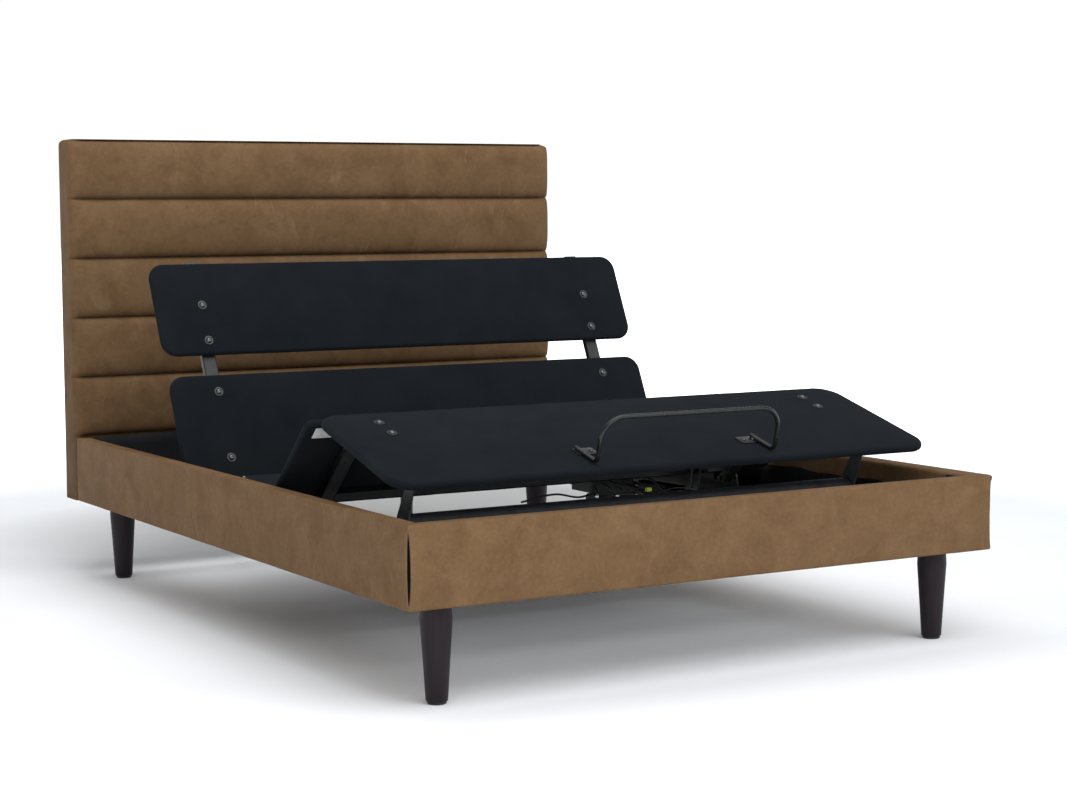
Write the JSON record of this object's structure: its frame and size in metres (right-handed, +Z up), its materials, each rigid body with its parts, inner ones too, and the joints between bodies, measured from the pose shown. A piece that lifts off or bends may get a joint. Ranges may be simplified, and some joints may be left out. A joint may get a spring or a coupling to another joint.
{
  "type": "adjustable bed",
  "caption": "Upholstered platform bed with a channelled headboard, tapered wooden legs and a powered deck whose back, thigh and leg sections rise, with a mattress retainer bar at the foot.",
  "frame": {"origin": "on the floor, under the centre of the whole bed's outside box", "axes": "+Z up, +Y from the foot of the bed towards the headboard, +X across the bed, to the right of a person standing at the foot and facing the headboard"},
  "size_m": [1.64, 2.27, 1.298],
  "materials": {
    "leather": "satin",
    "lining": "matte",
    "deck_cloth": "matte",
    "board": "matte",
    "leg_wood": "satin",
    "frame_steel": "satin",
    "link_steel": "satin",
    "rod_steel": "polished",
    "black_plastic": "matte",
    "grey_plastic": "matte",
    "cable": "matte"
  },
  "bodies": {
    "bed_frame": {"headboard_core": "board", "headboard_cover": "leather", "headboard_lining": "lining", "side_rail_board_left": "board", "side_rail_cover_left": "leather", "side_rail_board_right": "board", "side_rail_cover_right": "leather", "footboard_board": "board", "footboard_cover": "leather", "corner_bracket_left": "frame_steel", "corner_bracket_right": "frame_steel", "corner_block_front_left": "board", "leg_front_left": "leg_wood", "leg_glide_front_left": "black_plastic", "corner_block_front_right": "board", "leg_front_right": "leg_wood", "leg_glide_front_right": "black_plastic", "corner_block_rear_left": "board", "leg_rear_left": "leg_wood", "leg_glide_rear_left": "black_plastic", "corner_block_rear_right": "board", "leg_rear_right": "leg_wood", "leg_glide_rear_right": "black_plastic", "ledger_left": "board", "base_side_left": "frame_steel", "ledger_right": "board", "base_side_right": "frame_steel", "support_leg": "frame_steel", "cross_tube_foot": "frame_steel", "cross_tube_thigh": "frame_steel", "cross_tube_back": "frame_steel", "cross_tube_head": "frame_steel", "seat_panel": "deck_cloth", "control_box": "grey_plastic", "power_supply": "black_plastic", "head_actuator_cable": "cable", "foot_actuator_cable": "cable"},
    "back_section": {"head_panel": "deck_cloth", "back_panel": "deck_cloth", "back_crank_tube": "frame_steel", "back_arm_left": "frame_steel", "back_arm_right": "frame_steel", "back_arm_cap_left": "black_plastic", "back_arm_cap_right": "black_plastic"},
    "thigh_section": {"thigh_panel": "deck_cloth", "thigh_crank_tube": "frame_steel", "thigh_arm_left": "frame_steel", "thigh_arm_right": "frame_steel"},
    "leg_section": {"leg_panel": "deck_cloth", "retainer_bar": "link_steel", "leg_arm_left": "frame_steel", "leg_arm_right": "frame_steel"},
    "foot_link": {"foot_link_crossbar": "link_steel", "crossbar_cable": "cable", "foot_link_arm_left": "link_steel", "foot_link_arm_right": "link_steel"},
    "head_actuator": {"head_actuator": "black_plastic"},
    "head_actuator_rod": {"head_actuator_rod": "rod_steel"},
    "foot_actuator": {"foot_actuator": "black_plastic"},
    "foot_actuator_rod": {"foot_actuator_rod": "rod_steel"}
  },
  "joints": [
    {"name": "back_lift", "type": "hinge", "parent": "bed_frame", "child": "back_section", "pos_m": [0, 0.302, 0.3325], "axis": [1, 0, 0], "range_deg": [-64.8, 0]},
    {"name": "thigh_lift", "type": "hinge", "parent": "bed_frame", "child": "thigh_section", "pos_m": [0, -0.262, 0.3325], "axis": [-1, 0, 0], "range_deg": [-42.5, 0]},
    {"name": "knee_fold", "type": "hinge", "parent": "thigh_section", "child": "leg_section", "pos_m": [0, -0.523, 0.57166], "axis": [1, 0, 0], "range_deg": [-58.2, 0.1]},
    {"name": "foot_link_swing", "type": "hinge", "parent": "bed_frame", "child": "foot_link", "pos_m": [0, -0.716, 0.28272], "axis": [-1, 0, 0], "range_deg": [-52.14, 0.1]},
    {"name": "head_actuator_swing", "type": "hinge", "parent": "bed_frame", "child": "head_actuator", "pos_m": [0.566, -0.305, 0.285], "axis": [1, 0, 0], "range_deg": [-1, 0.1]},
    {"name": "head_actuator_stroke", "type": "slide", "parent": "head_actuator", "child": "head_actuator_rod", "axis": [0, 0.9998, -0.0179], "range_m": [-0.08, 0.0005]},
    {"name": "foot_actuator_swing", "type": "hinge", "parent": "bed_frame", "child": "foot_actuator", "pos_m": [0.484, 0.36, 0.285], "axis": [-1, 0, 0], "range_deg": [-1, 0.1]},
    {"name": "foot_actuator_stroke", "type": "slide", "parent": "foot_actuator", "child": "foot_actuator_rod", "axis": [0, -0.9995, -0.0302], "range_m": [-0.056, 0.0005]}
  ],
  "couplings": [
    {"joint": "knee_fold", "follows": "thigh_lift", "ratio": 1.3671},
    {"joint": "foot_link_swing", "follows": "thigh_lift", "ratio": 1.2246},
    {"joint": "head_actuator_swing", "follows": "back_lift", "ratio": 0.007141},
    {"joint": "head_actuator_stroke", "follows": "back_lift", "m_per_rad": 0.068085},
    {"joint": "foot_actuator_swing", "follows": "thigh_lift", "ratio": 0.003568},
    {"joint": "foot_actuator_stroke", "follows": "thigh_lift", "m_per_rad": 0.070326}
  ]
}
